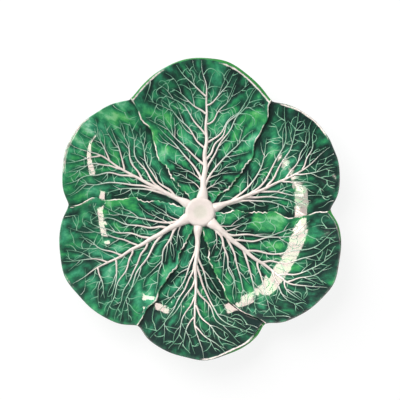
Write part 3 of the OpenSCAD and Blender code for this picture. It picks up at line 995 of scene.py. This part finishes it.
# Fired buff earthenware, matt and sandy, under a run of glossy green with a ragged edge. Its grog is
# drawn coarser than it is, so that it shows.
RUN_WANDER = 2.4 * MM
RUN_EDGE = (3.0 * MM, 3.6 * MM)
buff_clay, tree = new_material("wiped_buff_earthenware")
place = add(tree, "TexCoord", {}).outputs["Object"]
height = add(tree, "SeparateXYZ", {0: place}).outputs["Z"]
drip = add(tree, "TexNoise", {"Vector": place, "Scale": per_metre(9), "Detail": 3.0})
run = add(tree, "Math", {0: drip.outputs[0], 1: RUN_WANDER, 2: height}, operation="MULTIPLY_ADD")
glazed = add(tree, "MapRange", {"Value": run.outputs[0], "From Min": RUN_EDGE[0], "From Max": RUN_EDGE[1]})
grog = add(tree, "TexNoise", {"Vector": place, "Scale": per_metre(1.6), "Detail": 4.0, "Roughness": 0.7})
clay = add(tree, "ValToRGB", {"Fac": grog.outputs[0]}, stops=((0.3, "#b79a78"), (0.7, "#d8c2a2")))
run_green = add(tree, "Mix", {0: drip.outputs[0], 6: colour("#1f5f3e"), 7: colour("#3f915a")},
                data_type="RGBA")
dipped = add(tree, "Mix", {0: glazed.outputs[0], 6: clay.outputs[0], 7: run_green.outputs[2]},
             data_type="RGBA")
sheen = add(tree, "MapRange", {"Value": glazed.outputs[0], "To Min": 0.75, "To Max": 0.16})
skin = add(tree, "Bump", {"Height": grog.outputs[0], "Strength": 0.2, "Distance": 0.2 * MM})
foot = add(tree, "BsdfPrincipled", {"Base Color": dipped.outputs[2], "Roughness": sheen.outputs[0],
                                    "IOR": 1.5, "Normal": skin.outputs[0]})
add(tree, "OutputMaterial", {"Surface": foot.outputs[0]})
foot_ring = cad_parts["foot_ring"]
foot_ring.data.materials.clear()
foot_ring.data.materials.append(buff_clay)


# Studio
# A white table, a room that is bright round its walls and dim overhead, and one large soft key at the
# upper left. The windows are cards that show only in the gloss, each on the leaves that face it.
TABLE_HALF = 6.0
corners = [(-TABLE_HALF, -TABLE_HALF, 0), (TABLE_HALF, -TABLE_HALF, 0),
           (TABLE_HALF, TABLE_HALF, 0), (-TABLE_HALF, TABLE_HALF, 0)]
floor_mesh = bpy.data.meshes.new("white_table")
floor_mesh.from_pydata(corners, [], [(0, 1, 2, 3)])
floor = bpy.data.objects.new("white_table", floor_mesh)
bpy.context.scene.collection.objects.link(floor)

# Matt white paint that reads as plain white, to the eye and in the gloss, and still keeps a faint shadow
WHITENED = 0.86
table_white, tree = new_material("white_table_paint")
paint = add(tree, "BsdfDiffuse", {"Color": colour("#fbfbfb")})
bare = add(tree, "Emission", {"Color": colour("#ffffff"), "Strength": 1.0})
ray = add(tree, "LightPath", {}).outputs
direct = add(tree, "Math", {0: ray["Is Camera Ray"], 1: ray["Is Glossy Ray"]}, operation="MAXIMUM")
viewed = add(tree, "Math", {0: direct.outputs[0], 1: ray["Is Transmission Ray"]}, operation="MAXIMUM")
whitened = add(tree, "Math", {0: viewed.outputs[0], 1: WHITENED}, operation="MULTIPLY")
seen = add(tree, "MixShader", {0: whitened.outputs[0], 1: paint.outputs[0], 2: bare.outputs[0]})
add(tree, "OutputMaterial", {"Surface": seen.outputs[0]})
floor_mesh.materials.append(table_white)

world = bpy.data.worlds.new("studio")
world.use_nodes = True
tree = world.node_tree
tree.nodes.clear()
up = add(tree, "SeparateXYZ", {0: add(tree, "TexCoord", {}).outputs["Generated"]}).outputs["Z"]
ceiling = add(tree, "MapRange", {"Value": up, "From Min": 0.2, "From Max": 0.75,
                                 "To Min": 1.0, "To Max": 0.16})
sky = add(tree, "Background", {"Color": colour("#ffffff"), "Strength": ceiling.outputs[0]})
add(tree, "OutputWorld", {"Surface": sky.outputs[0]})
bpy.context.scene.world = world
LAMP_DISTANCE = 1.6


def place_light(name, azimuth, zenith, width, height, power, roll=0):
    lamp = bpy.data.lights.new(name, "AREA")
    lamp.shape = "RECTANGLE"
    lamp.size = width
    lamp.size_y = height
    lamp.energy = power
    light = bpy.data.objects.new(name, lamp)
    around, down = math.radians(azimuth), math.radians(zenith)
    aside = LAMP_DISTANCE * math.sin(down)
    light.location = (aside * math.cos(around), aside * math.sin(around), LAMP_DISTANCE * math.cos(down))
    aimed = (-Vector(light.location)).to_track_quat("-Z", "Y")
    light.rotation_euler = (aimed @ Quaternion((0, 0, 1), math.radians(roll))).to_euler()
    bpy.context.scene.collection.objects.link(light)
    return light


key = place_light("soft_key", azimuth=135, zenith=40, width=1.3, height=1.3, power=38)
key.visible_glossy = False

# Each card's azimuth and angle from overhead in degrees, width and height in metres, roll in degrees,
# share of the radiance, and the leaves that show it
CARD_RADIANCE = 19.5
RIGHT = ("lower_right", "upper_right", "bottom")
LEFT = ("lower_left", "upper_left", "bottom", "upper_right")
CARDS = [
    ("window_left", 137, 30.0, 0.86, 0.44, 14, 1.0, RIGHT),
    ("window_left_low", 101, 34.5, 0.14, 0.32, 14, 1.0, RIGHT),
    ("window_left_veil", 176, 27.4, 0.3, 0.38, 0, 0.58, RIGHT),
    ("window_left_end", 183, 26, 0.05, 0.24, 0, 0.7, RIGHT),
    ("window_right", 13, 26, 0.36, 0.16, -8, 1.0, LEFT),
    ("window_right_low", -15, 41.5, 0.36, 0.14, 0, 1.0, LEFT),
    ("window_back", 78, 38, 0.18, 0.2, 0, 1.0, LEFT),
]
for name, azimuth, zenith, width, height, roll, share, facing in CARDS:
    power = CARD_RADIANCE * share * math.pi * width * height
    card = place_light(name, azimuth, zenith, width, height, power, roll)
    card.data.color = colour("#ffe8df")[:3]
    card.visible_diffuse = False
    lit = bpy.data.collections.new(name + "_faces")
    for place in facing:
        for piece in (leaf_pieces[place], *vein_pieces[place]):
            lit.objects.link(piece)
    card.light_linking.receiver_collection = lit

# The camera looks almost straight down, from a little towards the bottom leaf
CAMERA_DISTANCE = 1.25
CAMERA_ELEVATION = math.radians(82)
CAMERA_FIELD = math.radians(18.55)
AIM = Vector((-0.0003, 0.0105, 0.028))
camera_data = bpy.data.cameras.new("camera")
camera = bpy.data.objects.new("camera", camera_data)
backward = Vector((0, -math.cos(CAMERA_ELEVATION), math.sin(CAMERA_ELEVATION)))
camera.location = AIM + CAMERA_DISTANCE * backward
camera.rotation_euler = (AIM - camera.location).to_track_quat("-Z", "Y").to_euler()
camera_data.angle = CAMERA_FIELD
bpy.context.scene.collection.objects.link(camera)
bpy.context.scene.camera = camera
bpy.context.scene.view_settings.view_transform = "Standard"
